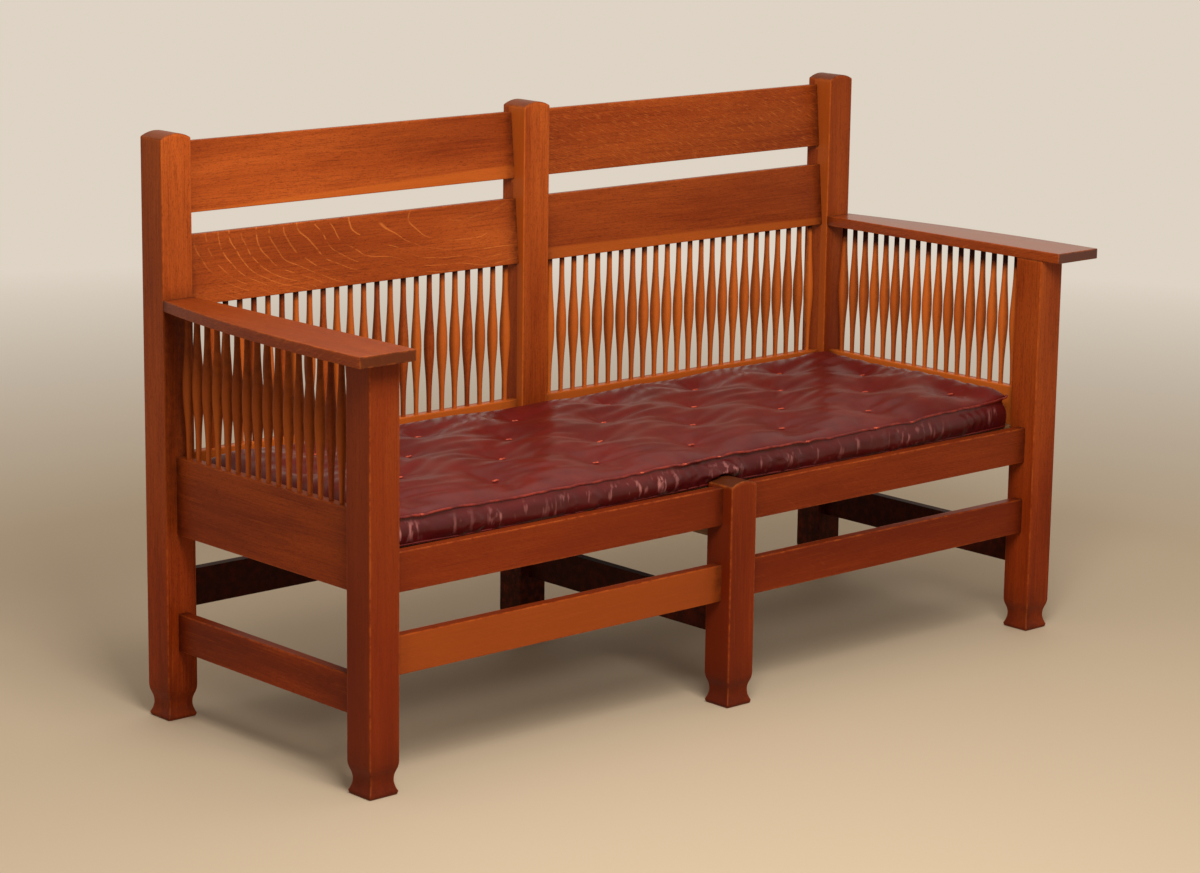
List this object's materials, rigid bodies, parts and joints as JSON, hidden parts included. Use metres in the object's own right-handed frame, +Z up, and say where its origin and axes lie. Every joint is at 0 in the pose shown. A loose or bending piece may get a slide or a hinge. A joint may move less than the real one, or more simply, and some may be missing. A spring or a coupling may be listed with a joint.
{
  "type": "mission settle",
  "caption": "Mission settle in oak with spindle back and sides, broad flat arms, stretchers on all sides and a loose tufted leather seat cushion.",
  "frame": {"origin": "on the floor, under the middle of the overall length and depth, arms included", "axes": "+X along the settle to the right of someone who faces it, +Y from the front to the back, +Z up"},
  "size_m": [1.652, 0.621, 0.9549],
  "materials": {
    "oak": "satin brown varnish over quarter-sawn oak",
    "plain_wood": "bare sawn board",
    "leather": "semi-gloss dark red"
  },
  "bodies": {
    "frame": {"rear_post_left": "oak", "rear_post_center": "oak", "rear_post_right": "oak", "front_post_left": "oak", "front_post_center": "oak", "front_post_right": "oak", "crest_rail_left": "oak", "crest_rail_right": "oak", "back_slat_left": "oak", "back_slat_right": "oak", "back_seat_rail_left": "oak", "back_seat_rail_right": "oak", "back_spindles_left": "oak", "back_spindles_right": "oak", "front_seat_rail_left": "oak", "front_seat_rail_right": "oak", "side_seat_rail_left": "oak", "side_seat_rail_right": "oak", "side_spindles_left": "oak", "side_spindles_right": "oak", "front_stretcher_left": "oak", "front_stretcher_right": "oak", "back_stretcher_left": "oak", "back_stretcher_right": "oak", "side_stretcher_left": "oak", "side_stretcher_right": "oak", "center_stretcher": "oak", "center_seat_rail": "plain_wood", "arm_left": "oak", "arm_right": "oak", "seat_cleat_left": "plain_wood", "seat_cleat_right": "plain_wood", "seat_slats_left": "plain_wood", "seat_slats_right": "plain_wood"},
    "cushion": {"seat_cushion": "leather"}
  },
  "joints": [
    {"name": "cushion_lift", "type": "slide", "parent": "frame", "child": "cushion", "axis": [0, 0, 1], "range_m": [0, 0.3]}
  ]
}
